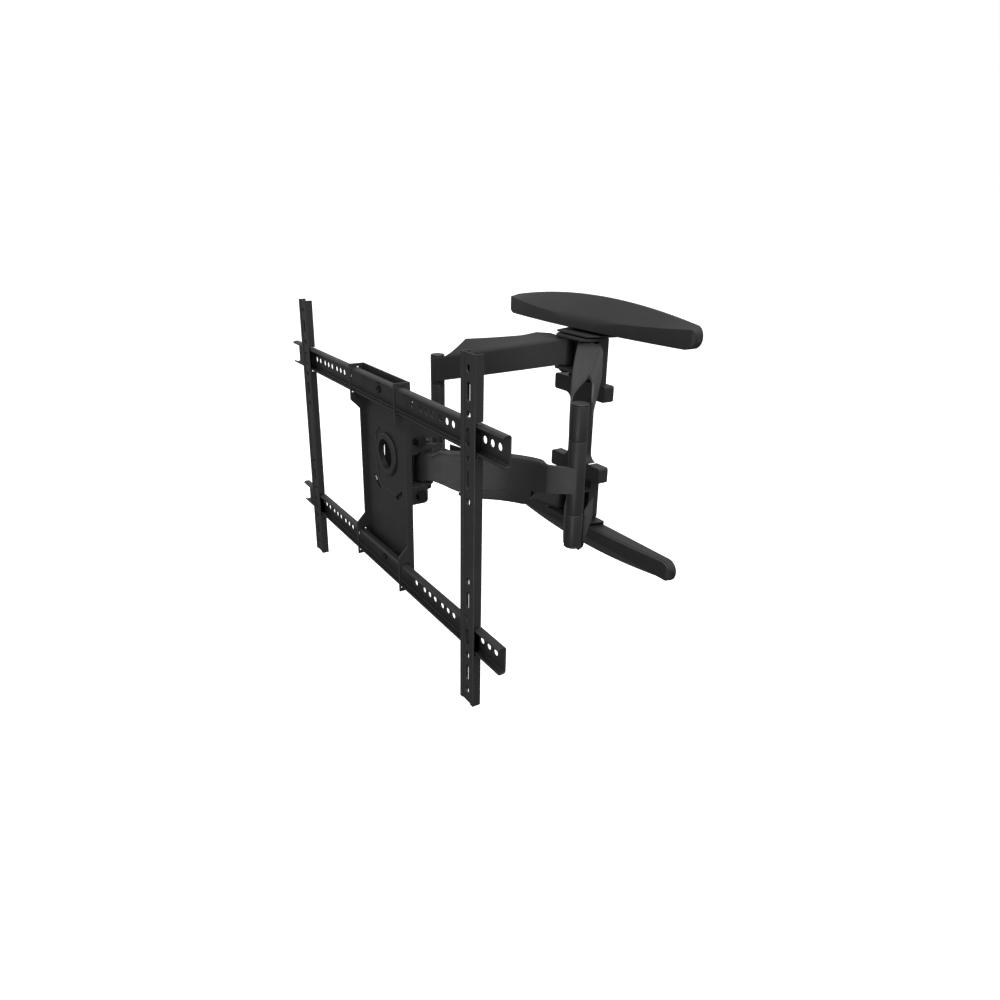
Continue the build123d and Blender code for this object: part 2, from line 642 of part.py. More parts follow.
def tilt_plate():
    """U bracket that tilts on the lower bolts."""
    web_front = TILT_WEB_BACK - PLATE
    part = block(-TILT_HALF, TILT_HALF, web_front, TILT_WEB_BACK, TILT_LOW, TILT_HIGH)
    inner = HEAD_HALF + GAP
    ears = block(inner, inner + PLATE, web_front, EAR_BACK_LOW, *EAR_LOW_Z)
    low, rear_low, rear_high, high = EAR_HIGH_Z
    upper = [(web_front, low), (EAR_STEP_Y - 10, low), (EAR_STEP_Y, rear_low), (EAR_BACK_HIGH, rear_low),
             (EAR_BACK_HIGH, rear_high), (EAR_STEP_Y, high), (web_front, high)]
    ears += prism_x(upper, inner, inner + PLATE)
    rounded = [e for e in ears.edges().filter_by(Axis.X) if e.center().Y > EAR_BACK_LOW - 1]
    ears = fillet(rounded, EAR_FILLET)
    part += ears + flip_x(ears)
    for x0 in (-inner - PLATE - 1, inner - 0.2):
        x1 = x0 + PLATE + 1.2
        part -= rod_x(TILT_PIVOT_Y, TILT_PIVOT_Z, x0, x1, M8_R + RUN_FIT)
        part -= arc_slot_x(TILT_SLOT_R, M8_R + GAP, -TILT_SLOT_FRONT, TILT_SLOT_BACK, x0, x1)
    part -= rod_y(0, HUB_Z, web_front - 1, TILT_WEB_BACK + 1, HUB_BORE_R)
    for angle in LEVEL_SCREW_ANGLES:
        x, z = level_point(angle)
        part -= rod_y(x, z, web_front - 1, TILT_WEB_BACK + 1, M5_R + RUN_FIT)
    return part


def level_point(angle):
    """Point on the level-screw circle."""
    return LEVEL_SCREW_R * cos(radians(angle)), HUB_Z + LEVEL_SCREW_R * sin(radians(angle))


def level_hub():
    """Flanged hub riveted to the tilt plate; the TV plate turns on it."""
    back = TILT_WEB_BACK - PLATE
    face = PLATE_FRONT + POCKET_DEPTH - RUN_FIT
    part = rod_y(0, HUB_Z, face - HUB_FLANGE_T, back - 0.02, HUB_R)
    flange = rod_y(0, HUB_Z, face - HUB_FLANGE_T, face, HUB_FLANGE_R)
    rim = flange.edges().filter_by(GeomType.CIRCLE).group_by(Axis.Y)[0]
    part += fillet(rim, 3.2)
    return part - rod_y(0, HUB_Z, face - HUB_FLANGE_T - 1, back + 1, HUB_BORE_R)


def level_screw(angle):
    """Grub screw in the tilt plate that locks the level adjustment."""
    x, z = level_point(angle)
    return rod_y(x, z, PLATE_FRONT + PLATE - 0.5, TILT_WEB_BACK + 1, M5_R)


# ------------------------------------------------------------------ TV plate
def flange_outline():
    """Side flange of the TV plate, YZ, deeper round the rails."""
    back = PLATE_FRONT + PLATE
    points = []
    for z in (-PLATE_HALF_H, -FLANGE_STEP_Z, -FLANGE_RAMP_Z, FLANGE_RAMP_Z, FLANGE_STEP_Z, PLATE_HALF_H):
        deep = abs(z) >= FLANGE_STEP_Z
        points.append((FLANGE_END if deep else FLANGE_MID, PLATE_Z + z))
    return [(back, PLATE_Z - PLATE_HALF_H)] + points + [(back, PLATE_Z + PLATE_HALF_H)]


def level_slot(angle):
    """Arc slot in the TV plate for one level screw."""
    cutter = None
    for i in range(9):
        x, z = level_point(angle - LEVEL_SLOT_HALF_ANGLE + LEVEL_SLOT_HALF_ANGLE * i / 4)
        bead = rod_y(x, z, PLATE_FRONT - 1, PLATE_FRONT + PLATE + 1, LEVEL_SLOT_HALF)
        cutter = bead if cutter is None else cutter + bead
    return cutter


def tv_plate():
    """Centre plate with forward flanges that wrap both rails."""
    back = PLATE_FRONT + PLATE
    part = block(-PLATE_HALF, PLATE_HALF, PLATE_FRONT, back, PLATE_Z - PLATE_HALF_H, PLATE_Z + PLATE_HALF_H)
    for x0 in (-PLATE_HALF, PLATE_HALF - PLATE):
        part += prism_x(flange_outline(), x0, x0 + PLATE)
    for side in (-1, 1):
        z = PLATE_Z + side * RAIL_Z
        reach = RAIL_HALF_H + GAP
        half = PLATE_HALF + 1
        part -= block(-half, half, RAIL_FRONT - GAP, RAIL_BACK + GAP, z - reach, z + reach)
        part -= rod_y(0, z, PLATE_FRONT - 1, back + 1, M8_R + RUN_FIT)
    part -= prism_y(POCKET, PLATE_FRONT - 1, PLATE_FRONT + POCKET_DEPTH)
    part -= rod_y(0, HUB_Z, PLATE_FRONT - 1, back + 1, HUB_R + RUN_FIT)
    for angle in LEVEL_SCREW_ANGLES:
        part -= level_slot(angle)
    return part


def rail_bolt(z):
    """Socket-head bolt that clamps a rail to the TV plate."""
    shank = rod_y(0, z, RAIL_BACK - RAIL_T, PLATE_FRONT + PLATE + 8, M8_R)
    head = fillet(Cylinder(RAIL_HEAD_R, RAIL_HEAD_H).edges().group_by(Axis.Z)[-1], 0.8)
    head -= extrude(RegularPolygon(RAIL_HEX_R, 6, major_radius=False), RAIL_HEAD_H)
    return shank + Pos(0, RAIL_BACK - RAIL_T - RAIL_HEAD_H / 2, z) * Rot(90, 0, 0) * head


def rail_spacer(z):
    """Spacer between rail and TV plate."""
    ring = rod_y(0, z, RAIL_BACK + 0.02, PLATE_FRONT - 0.02, 9)
    return ring - rod_y(0, z, RAIL_BACK - 1, PLATE_FRONT + 1, M8_R + RUN_FIT)


def rail_nut(z):
    """Nut on the back of the TV plate."""
    return Pos(0, PLATE_FRONT + PLATE + 0.02, z) * Rot(-90, 0, 0) * hex_nut(M8_HEAD_R, 6, M8_R + RUN_FIT)


# --------------------------------------------------------------------- rails
def rail(z):
    """Channel rail, open to the front, with rounded corners and lips."""
    outer = RectangleRounded(RAIL_BACK - RAIL_FRONT, 2 * RAIL_HALF_H, 3.5)
    inner = RectangleRounded(RAIL_BACK - RAIL_FRONT - 2 * RAIL_T, 2 * (RAIL_HALF_H - RAIL_T), 1.5)
    mouth = Pos(-(RAIL_BACK - RAIL_FRONT) / 2, 0) * Rectangle(2 * RAIL_T + 1, 2 * (RAIL_HALF_H - RAIL_LIP))
    profile = Pos((RAIL_BACK + RAIL_FRONT) / 2, z) * (outer - inner - mouth)
    part = Plane.YZ.offset(-RAIL_HALF) * extrude(profile, 2 * RAIL_HALF)
    y0, y1 = RAIL_BACK - RAIL_T - 1, RAIL_BACK + 1
    for side in (-1, 1):
        part -= rod_y(side * RAIL_SINGLE_HOLE, z, y0, y1, RAIL_HOLE_R)
        for centre in RAIL_HOLE_GROUPS:
            for step in (-1, 0, 1):
                part -= rod_y(side * (centre + step * RAIL_HOLE_PITCH), z, y0, y1, RAIL_HOLE_R)
    part -= rod_y(0, z, y0, y1, M8_R + RUN_FIT)
    length, width, rise = RAIL_SLIT
    part -= slot_y(0, z + rise, length, width, y0, y1)
    return part


# ------------------------------------------------------------------- TV arms
def tv_arm_profile():
    """Channel section with two raised beads along the front, XY."""
    x, f, t = TV_ARM_HALF, TV_ARM_FRONT, TV_ARM_T
    b, w = TV_BEAD, TV_BEAD_W
    outer = [(-x, f + TV_ARM_DEPTH), (-x, f + 1), (-x + 1, f), (-x + w, f), (-x + w + b, f + b),
             (x - w - b, f + b), (x - w, f), (x - 1, f), (x, f + 1), (x, f + TV_ARM_DEPTH)]
    inner = [(x - t, f + TV_ARM_DEPTH), (x - t, f + t), (x - w - 0.4, f + t),
             (x - w - b - 0.4, f + b + t), (-x + w + b + 0.4, f + b + t), (-x + w + 0.4, f + t),
             (-x + t, f + t), (-x + t, f + TV_ARM_DEPTH)]
    return outer + inner


def tv_arm():
    """Upright arm that bolts to the screen, drawn at x = 0."""
    top = PLATE_Z + TV_ARM_HALF_H
    low = PLATE_Z - TV_ARM_HALF_H
    part = prism_z(tv_arm_profile(), low, top)
    y0, y1 = TV_ARM_FRONT - 1, TV_ARM_FRONT + 6
    for side in (-1, 1):
        rail_z = PLATE_Z + side * RAIL_Z
        for height in TV_HOLES:
            part -= rod_y(0, PLATE_Z + side * height, y0, y1, TV_HOLE_R)
        for height in TV_SLOTS:
            part -= slot_y(0, PLATE_Z + side * height, TV_SLOT_L, TV_SLOT_W, y0, y1, True)
        part -= slot_y(0, rail_z, LOCK_SLOT_L, LOCK_SLOT_W, y0, y1, True)
        part -= block(-TV_ARM_HALF - 1, TV_ARM_HALF + 1, RAIL_FRONT - 0.1, RAIL_BACK,
                      rail_z - NOTCH_HALF, rail_z + NOTCH_HALF)
    return part


def slide_nut(z):
    """Slider held behind the lips of a rail."""
    body = block(-9, 9, RAIL_BACK - RAIL_T - 6.6, RAIL_BACK - RAIL_T - 0.4,
                 z - RAIL_HALF_H + RAIL_T + 0.5, z + RAIL_HALF_H - RAIL_T - 0.5)
    neck = block(-8, 8, RAIL_FRONT + 0.1, RAIL_BACK - RAIL_T - 6, z - RAIL_HALF_H + RAIL_LIP + 0.6,
                 z + RAIL_HALF_H - RAIL_LIP - 0.6)
    return body + neck - rod_y(0, z, RAIL_FRONT - 2, RAIL_BACK, M8_R + RUN_FIT)


def slide_bolt(z):
    """Clamp bolt whose long head lies in the lock slot of the arm."""
    bed = TV_ARM_FRONT + TV_BEAD
    shank = rod_y(0, z, bed + LOCK_HEAD_SINK, RAIL_BACK - RAIL_T - 1, M8_R)
    return shank + slot_y(0, z, LOCK_HEAD_L, LOCK_HEAD_W, bed + LOCK_HEAD_SINK, RAIL_FRONT, True)


# ------------------------------------------------------------------ assembly
def both(make):
    """The same piece at both rails."""
    return group([make(PLATE_Z + RAIL_Z), make(PLATE_Z - RAIL_Z)])


def mirrored_pair(shape):
    """The same piece on both sides."""
    return group([shape, flip_x(shape)])


def side_nodes(name, hand):
    """All pieces of one folding side and its TV arm."""
    turn = (lambda shape: shape) if hand > 0 else flip_x
    clearance = OPEN_FIT if hand > 0 else RUN_FIT
    upper = first_stage_local()
    nodes = {
        f"arm_{name}_upper": turn(place_first(upper)),
        f"arm_{name}_lower": turn(place_first(flip_z(upper))),
        f"forearm_{name}": turn(place_fore(forearm_local())),
        f"cable_cover_{name}": turn(place_fore(cable_cover_local())),
    }
    bushes = wall_bush_local()
    bushes += [flip_z(b) for b in bushes]
    nodes[f"wall_bushes_{name}"] = group(turn(place_first(b)) for b in bushes)
    cap = elbow_cap_local()
    elbow = Pos(ELBOW_X, ELBOW_Y, 0)
    nodes[f"elbow_pin_{name}"] = turn(elbow * elbow_pin_local())
    nodes[f"elbow_caps_{name}"] = group(turn(elbow * c) for c in (cap, flip_z(cap)))
    nodes[f"elbow_bushes_{name}"] = group(turn(place_fore(b)) for b in elbow_bush_local())
    nodes[f"head_bushes_{name}"] = group(turn(place_fore(b)) for b in head_bush_local(clearance))
    slide = Pos(hand * TV_ARM_X, 0, 0)
    nodes[f"tv_arm_{name}"] = slide * tv_arm()
    nodes[f"slide_nuts_{name}"] = slide * both(slide_nut)
    nodes[f"slide_bolts_{name}"] = slide * both(slide_bolt)
    return nodes


def build():
    """Every node of the mount by name."""
    yoke = pivot_yoke()
    plate = wall_plate()
    cover = wall_cover()
    pins = [wall_pin(x) for x in (-PIVOT_X, PIVOT_X)]
    nodes = {
        "wall_column": wall_column(),
        "pivot_yoke_upper": yoke,
        "pivot_yoke_lower": flip_z(yoke),
        "wall_plate_upper": plate,
        "wall_plate_lower": flip_z(plate),
        "wall_cover_upper": cover,
        "wall_cover_lower": flip_z(cover),
        "wall_pins": group(pins + [flip_z(p) for p in pins]),
        "head_block": head_block(),
        "head_pins": group(head_pin(x) for x in (-PIVOT_X, PIVOT_X)),
        "head_pin_nuts": group(Pos(x, HEAD_Y, LEAF_LOW - 7) * hex_nut(9.5, 6.6, HEAD_PIN_R + RUN_FIT)
                               for x in (-PIVOT_X, PIVOT_X)),
        "tilt_plate": tilt_plate(),
        "tilt_pivot_bolts": mirrored_pair(tilt_bolt(TILT_PIVOT_Z)),
        "tilt_lock_bolts": mirrored_pair(tilt_bolt(TILT_PIVOT_Z + TILT_SLOT_R)),
        "level_hub": level_hub(),
        "level_screws": group(level_screw(angle) for angle in LEVEL_SCREW_ANGLES),
        "tv_plate": tv_plate(),
        "rail_upper": rail(PLATE_Z + RAIL_Z),
        "rail_lower": rail(PLATE_Z - RAIL_Z),
        "rail_bolts": both(rail_bolt),
        "rail_spacers": both(rail_spacer),
        "rail_nuts": both(rail_nut),
    }
    nodes.update(side_nodes("right", 1))
    nodes.update(side_nodes("left", -1))
    return nodes


os.makedirs("parts", exist_ok=True)
for node, shape in build().items():
    export_step(shape, f"parts/{node}.step")
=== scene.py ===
"""Looks of the full-motion TV wall mount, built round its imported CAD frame.

Every visible piece stands for one CAD node: flat sheet metal, rails and fasteners are
copies with rolled edges, and the covers, arms, forearms and cable covers are made again
with their formed curves.  Lengths are in millimetres, like the CAD's, unless a comment
says metres; meshes are scaled to metres by MM.
"""
import json
import math

import bmesh
import bpy
from mathutils import Matrix, Vector


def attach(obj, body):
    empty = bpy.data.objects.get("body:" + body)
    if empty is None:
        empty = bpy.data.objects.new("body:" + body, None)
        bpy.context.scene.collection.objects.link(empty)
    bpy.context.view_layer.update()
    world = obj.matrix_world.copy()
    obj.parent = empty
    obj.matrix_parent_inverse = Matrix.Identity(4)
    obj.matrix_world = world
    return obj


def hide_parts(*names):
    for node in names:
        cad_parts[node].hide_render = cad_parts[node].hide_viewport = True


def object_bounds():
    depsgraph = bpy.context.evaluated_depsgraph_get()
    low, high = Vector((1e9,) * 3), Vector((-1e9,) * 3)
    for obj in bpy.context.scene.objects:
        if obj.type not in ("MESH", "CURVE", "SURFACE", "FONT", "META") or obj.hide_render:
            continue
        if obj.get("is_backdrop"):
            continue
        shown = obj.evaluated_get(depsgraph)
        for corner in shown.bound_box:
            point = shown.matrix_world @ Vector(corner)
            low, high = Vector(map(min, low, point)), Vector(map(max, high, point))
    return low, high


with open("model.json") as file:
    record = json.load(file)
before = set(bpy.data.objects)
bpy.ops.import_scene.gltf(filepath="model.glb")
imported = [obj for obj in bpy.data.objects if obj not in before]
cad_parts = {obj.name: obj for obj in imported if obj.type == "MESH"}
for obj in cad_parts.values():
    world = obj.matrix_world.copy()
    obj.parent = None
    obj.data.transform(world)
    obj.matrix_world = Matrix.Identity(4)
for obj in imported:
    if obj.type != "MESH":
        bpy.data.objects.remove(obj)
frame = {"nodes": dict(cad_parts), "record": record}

CAD_LOW, CAD_HIGH = (list(corner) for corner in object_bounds())
MM = 0.001

# ------------------------------------------------------------------ dimensions
EDGE_SHEET = 0.55            # rolled edge of sheet metal
EDGE_MOULDING = 0.9
EDGE_FASTENER = 0.3
EDGE_SEGMENTS = 2
SHARP_ANGLE = math.radians(32)
FLAT_ANGLE = math.radians(0.6)
END_FACING = 0.9             # a face this square to a piece's length is an end cap
WELD = 2e-6                  # metres, like the next two
SEAM_WELD = 1e-5
LEAST_EDGE = 1e-6

# Linkage
ARM_LEN = 221.0              # pivot to pivot
ARM_ANGLE = math.radians(40)
PIVOT_X = 25.0
WALL_PIVOT_Y = -38.0
ELBOW_X = PIVOT_X + ARM_LEN * math.cos(ARM_ANGLE)
ELBOW_Y = WALL_PIVOT_Y - ARM_LEN * math.sin(ARM_ANGLE)
SHEET = 2.5

# Covers
COVER_HALF = 225.0
COVER_LOW = 159.0
COVER_TOP_MID = 210.0
COVER_TOP_END = 190.0
COVER_DEPTH_MID = 32.0
COVER_DEPTH_END = 16.0
COVER_CREASE_MID = 177.0
COVER_CREASE_END = 188.0
COVER_WALL = 2.6
COVER_CORNER = 17.0
COVER_CORNER_RISE = 4.0
COVER_RIM = 7.0              # rounding of the cover's ends in depth
COVER_SOFT = 9.0             # rounding of the crease at mid-length
COVER_SOFT_REACH = 90.0
COVER_CREST = 4.0            # from the wall to the edge where the top starts to slope
COVER_CREST_R = 2.0
COVER_CREASE_R = 0.8         # rounding of the crease near the ends
COVER_CREASE_DROP = 1.0      # least height between crease and crest
COVER_FRONT_R = 1.4
COVER_GROOVE = 5.4           # from the front face to the middle of the shadow groove
COVER_GROOVE_MOUTH = 0.8     # half widths at its mouth and its bottom
COVER_GROOVE_BOTTOM = 0.5
COVER_GROOVE_DEPTH = 0.9
COVER_GROOVE_R = (0.3, 0.2)
COVER_CURVE_STEPS = 6
COVER_STATIONS = 60
COVER_END_STATIONS = 10
COVER_INSIDE_Y = -8.0        # place inside the cover, which its outer side faces away from
COVER_INSIDE_RISE = 20.0
SHELF_HALF = 54.0
SHELF_CLEAR = 1.0
SHELF_BACK = 3.4             # the cover stops here above the wall plate's shelf
SHELF_HEIGHT = 6.0

# First stage
BARREL_R = 13.0
BARREL_LOW = 101.5
BARREL_HIGH = 144.5
WALL_BUSH_R = 8.0
WEB_TOP_WALL = 144.0
WEB_TOP_ELBOW = 98.3
WEB_LOW_WALL = 103.0
WEB_LOW_ELBOW = 57.0
HOOD_START = 38.0
HOOD_END = 174.0
HOOD_OPEN = 213.0
HOOD_RIM = 205.0             # end of the hood's outer side, short of the sleeve
HOOD_Z_START = 146.0
HOOD_Z_END = 129.0
HOOD_SAG = 1.2
HOOD_INNER_START = -2.0
HOOD_INNER_Q = 13.0          # sideways from the pivot line to the inner wall
HOOD_INNER_BULGE = 3.0
HOOD_INNER_R = 4.0
HOOD_RIDGE_Q = (21.0, 9.0)   # sideways place of the ridge, at the start and the mouth
HOOD_OUTER_Q = (27.0, 16.0)
HOOD_OUTER_R = 6.0
HOOD_SHOULDER = 9.0          # drop from the ridge to the outer wall
HOOD_MOUTH_CURVE = 1.7
HOOD_BODY_ROWS = 40
HOOD_MOUTH_ROWS = 24
HOOD_ROW_POINTS = 30
HOOD_LEAD = 34.0             # slant of the hood's first edge, from bottom to ridge
HOOD_LEAD_REACH = 80.0
HOOD_INSIDE = (90.0, 0.0, 105.0)         # place inside the hood
PIN_FIT = 0.05
RIM_EASE = 0.8               # rounding of the rims of tubes
BARREL_EASE = 1.0
RIM_STEPS = 3
LATHE_SEGMENTS = 72
ELBOW_R = 12.0
ELBOW_TOP = 98.5
ELBOW_SPLIT = 52.0
ELBOW_PIN_R = 6.0
ELBOW_BUSH_R = 8.0

# Forearm
FOREARM_T = 3.0
FOREARM_BEND_R = 3.0
FOREARM_ROW_POINTS = 24
FOREARM_INSIDE = (100.0, -60.0, -60.0)   # place on the hollow side of the bend
FLANGE_W = 13.0
FLANGE_LEAST = 3.2
FLANGE_START = 38.0
FLANGE_GROWTH = 10.0
FLANGE_END = 204.0
FLANGE_FADE = 8.0
HEAD_BARREL_R = 14.0
HEAD_BARREL_LOW = -29.0
HEAD_BARREL_HIGH = 13.0
HEAD_BARREL_EASE = 1.2
HEAD_BUSH_R = 8.5
TUBE_GAP = 0.9               # between the elbow tube and each sleeve

# Cable cover
CABLE_START = 62.0
CABLE_END = 166.0
CABLE_DEPTH = 22.0
CABLE_T = 2.0
CABLE_GAP = 1.0
CABLE_CHAMFER = 9.0
CABLE_CHAMFER_SHARE = 0.12   # part of the length that rises at each end
CABLE_FAR_CHAMFER = 0.5      # size of the far rise beside the near one
CABLE_LOW = -51.0
CABLE_CORNER_R = 4.0
CABLE_STATIONS = 36
CABLE_INSIDE = (115.0, -12.0, -30.0)     # place inside the trough

# Forearm lines, each from the elbow to the head
FOREARM_PATH = ((0.0, 10.5), (34.0, 10.5), (42.0, 8.5), (66.0, -1.0), (92.0, -5.5), (118.0, -5.0),
                (157.0, 2.0), (ARM_LEN - 18, 10.5), (ARM_LEN, 12.5))
FOREARM_TOP = ((-5.0, 16.0), (36.0, 16.0), (42.0, 17.5), (100.0, 16.5), (190.0, 15.0), (203.0, 12.5),
               (232.0, 12.5))
FOREARM_LOW = ((-5.0, -20.5), (36.0, -24.0), (168.0, -41.5), (185.0, -33.5), (203.0, -27.0),
               (232.0, -27.0))

# Finishes: noise cells per metre, heights in metres
MOTTLE = 0.14                # share by which the colour varies
MOTTLE_SCALE = 22.0
PATCH_SCALE = 90.0
ROUGH_SPREAD = 0.07
PEEL_SCALE = 520.0
PEEL_HEIGHT = 0.0004
GRAIN_SCALE = 2600.0
GRAIN_HEIGHT = 0.0002

# Camera, in metres
CAMERA_PLACE = Vector((0.94033, -0.78805, 0.33439))
CAMERA_AZIMUTH = math.radians(56.867)
CAMERA_ELEVATION = math.radians(21.129)
CAMERA_ROLL = math.radians(1.215)
CAMERA_LENS = 27.22          # millimetres, like the sensor
CAMERA_SENSOR = 36.0
CAMERA_NEAR = 0.01
CAMERA_FAR = 100.0

# Studio, in metres and watts
FLOOR_DROP = 0.16            # below the lowest point of the mount
FLOOR_SIZE = 30.0
FLOOR_CELLS = 8
FLOOR_GLOW = 0.85
LIGHT_BELOW = 0.16           # strength of the surround from below and from above
LIGHT_ABOVE = 0.62
LIGHT_BLEND = 0.35           # height of the direction at which each is reached
OVERHEAD_PLACE = (1.1, -0.35, 1.9)
OVERHEAD_TARGET = (0.0, -0.15, 0.0)
OVERHEAD_SIZE = 2.2
OVERHEAD_POWER = 42.0
FRONT_PLACE = (0.85, -1.05, -0.4)
FRONT_TARGET = (0.15, -0.2, 0.0)
FRONT_SIZE = 0.5
FRONT_POWER = 3.6


# ------------------------------------------------------------------- materials
def new_material(name):
    """Empty node material with its shader and output."""
    material = bpy.data.materials.new(name)
    material.use_nodes = True
    tree = material.node_tree
    tree.nodes.clear()
    output = tree.nodes.new("ShaderNodeOutputMaterial")
    shader = tree.nodes.new("ShaderNodeBsdfPrincipled")
    tree.links.new(shader.outputs["BSDF"], output.inputs["Surface"])
    return material, tree, shader


def noise(tree, scale, detail, roughness=0.5):
    """Noise texture in object space."""
    place = tree.nodes.new("ShaderNodeTexCoord")
    texture = tree.nodes.new("ShaderNodeTexNoise")
    texture.inputs["Scale"].default_value = scale
    texture.inputs["Detail"].default_value = detail
    texture.inputs["Roughness"].default_value = roughness
    tree.links.new(place.outputs["Object"], texture.inputs["Vector"])
    return texture.outputs["Fac"]


def ramp(tree, source, low, high, dark, light):
    """Colour ramp between two stops."""
    node = tree.nodes.new("ShaderNodeValToRGB")
    node.color_ramp.elements[0].position = low
    node.color_ramp.elements[1].position = high
    node.color_ramp.elements[0].color = dark
    node.color_ramp.elements[1].color = light
    tree.links.new(source, node.inputs["Fac"])
    return node.outputs["Color"]


def spread(tree, source, low, high):
    """Maps a 0 to 1 value to a range."""
    node = tree.nodes.new("ShaderNodeMapRange")
    node.inputs["To Min"].default_value = low
    node.inputs["To Max"].default_value = high
    tree.links.new(source, node.inputs["Value"])
    return node.outputs["Result"]


def bump(tree, source, distance, strength, below=None):
    """Bump from a height, stacked on another bump."""
    node = tree.nodes.new("ShaderNodeBump")
    node.inputs["Distance"].default_value = distance
    node.inputs["Strength"].default_value = strength
    tree.links.new(source, node.inputs["Height"])
    if below is not None:
        tree.links.new(below, node.inputs["Normal"])
    return node.outputs["Normal"]


def grey(value, tint=1.0):
    """Near-black grey, a tint above 1 being cooler."""
    return (value, value, value * tint, 1.0)


def coated(name, level, rough, metal, peel, grain, tint=1.03):
    """Painted or moulded finish: mottled colour, orange peel and fine grain."""
    material, tree, shader = new_material(name)
    mottle = noise(tree, MOTTLE_SCALE, 4.0, 0.6)
    dark, light = grey(level * (1 - MOTTLE), tint), grey(level * (1 + MOTTLE), tint)
    tree.links.new(ramp(tree, mottle, 0.3, 0.7, dark, light), shader.inputs["Base Color"])
    patches = noise(tree, PATCH_SCALE, 3.0, 0.55)
    sheen = spread(tree, patches, rough - ROUGH_SPREAD, rough + ROUGH_SPREAD)
    tree.links.new(sheen, shader.inputs["Roughness"])
    coarse = bump(tree, noise(tree, PEEL_SCALE, 2.0), PEEL_HEIGHT, peel)
    fine = bump(tree, noise(tree, GRAIN_SCALE, 2.0, 0.7), GRAIN_HEIGHT, grain, coarse)
    tree.links.new(fine, shader.inputs["Normal"])
    shader.inputs["Metallic"].default_value = metal
    return material


def make_materials():
    """One finish per material slot of the record."""
    return {
        "steel": coated("powder_coat", 0.021, 0.46, 0.0, 0.16, 0.10),
        "moulding": coated("grained_moulding", 0.019, 0.50, 0.0, 0.10, 0.22, 1.05),
        "bush": coated("black_nylon", 0.012, 0.42, 0.0, 0.05, 0.05),
        "pin": coated("black_oxide_pin", 0.016, 0.34, 0.3, 0.05, 0.08),
        "fastener": coated("black_oxide_bolt", 0.014, 0.33, 0.4, 0.06, 0.08),
    }


# ------------------------------------------------------------------- mesh tools
def finish_piece(name, mesh, body, nodes, material):
    """Links a mesh as a piece of the mount and says what it stands for."""
    piece = bpy.data.objects.new(name, mesh)
    bpy.context.scene.collection.objects.link(piece)
    mesh.materials.clear()
    mesh.materials.append(material)
    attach(piece, body)
    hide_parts(*nodes)
    return piece


def add_bevel(piece, width):
    """Rounds the sharp edges in geometry and keeps large faces flat in the shading."""
    bevel = piece.modifiers.new("edges", "BEVEL")
    bevel.width = width * MM
    bevel.segments = EDGE_SEGMENTS
    bevel.limit_method = "ANGLE"
    bevel.angle_limit = SHARP_ANGLE
    bevel.use_clamp_overlap = False
    bevel.harden_normals = True
    shading = piece.modifiers.new("shading", "WEIGHTED_NORMAL")
    shading.keep_sharp = True


def softened(node, body, material, width):
    """Copy of a CAD node with welded faces and rolled edges."""
    mesh = bpy.data.meshes.new(node + "_skin")
    form = bmesh.new()
    form.from_mesh(frame["nodes"][node].data)
    bmesh.ops.remove_doubles(form, verts=form.verts, dist=WELD)
    edges = form.edges[:]
    if node in KEPT_ENDS:
        axis = KEPT_ENDS[node]
        edges = [e for e in edges if all(abs(f.normal[axis]) < END_FACING for f in e.link_faces)]
    bmesh.ops.dissolve_limit(form, angle_limit=FLAT_ANGLE, verts=[], edges=edges)
    for face in form.faces:
        face.smooth = True
    form.to_mesh(mesh)
    form.free()
    piece = finish_piece(node + "_skin", mesh, body, [node], material)
    add_bevel(piece, width)


# ------------------------------------------------------------------ shaped pieces
def sheet_mesh(rows, closed_ends=False):
    """Sheet of quads through rows of points, its first and last rows capped if asked."""
    form = bmesh.new()
    grid = [[form.verts.new(Vector(point) * MM) for point in row] for row in rows]
    for row, after in zip(grid, grid[1:]):
        for i in range(len(row) - 1):
            form.faces.new((row[i], row[i + 1], after[i + 1], after[i]))
    if closed_ends:
        form.faces.new(grid[0][::-1])
        form.faces.new(grid[-1])
    bmesh.ops.remove_doubles(form, verts=form.verts, dist=LEAST_EDGE)
    bmesh.ops.recalc_face_normals(form, faces=form.faces)
    return form


def thickened(form, thickness):
    """Closed shell of a sheet, grown inward from the side that its normals face."""
    mesh = bpy.data.meshes.new("sheet")
    form.to_mesh(mesh)
    form.free()
    holder = bpy.data.objects.new("sheet", mesh)
    bpy.context.scene.collection.objects.link(holder)
    solid = holder.modifiers.new("thickness", "SOLIDIFY")
    solid.thickness = thickness * MM
    solid.offset = -1.0
    solid.use_even_offset = False
    depsgraph = bpy.context.evaluated_depsgraph_get()
    shell = bpy.data.meshes.new_from_object(holder.evaluated_get(depsgraph))
    bpy.data.objects.remove(holder)
    bpy.data.meshes.remove(mesh)
    return shell


def face_outward(form, away_from):
    """Turns the sheet so that its normals point away from a place."""
    form.normal_update()
    centre = Vector(away_from) * MM
    votes = sum(f.calc_area() * f.normal.dot(f.calc_center_median() - centre) for f in form.faces)
    if votes < 0:
        bmesh.ops.reverse_faces(form, faces=form.faces)


def rounded(points, radii, steps=5):
    """Polyline with short curves in place of its corners."""
    line = [Vector(points[0])]
    for before, corner, after, radius in zip(points, points[1:], points[2:], radii):
        before, corner, after = Vector(before), Vector(corner), Vector(after)
        back, ahead = before - corner, after - corner
        cut = min(radius, 0.45 * back.length, 0.45 * ahead.length)
        start = corner + back.normalized() * cut
        end = corner + ahead.normalized() * cut
        for i in range(steps + 1):
            t = i / steps
            line.append(start * (1 - t) ** 2 + corner * 2 * t * (1 - t) + end * t ** 2)
    line.append(Vector(points[-1]))
    return line


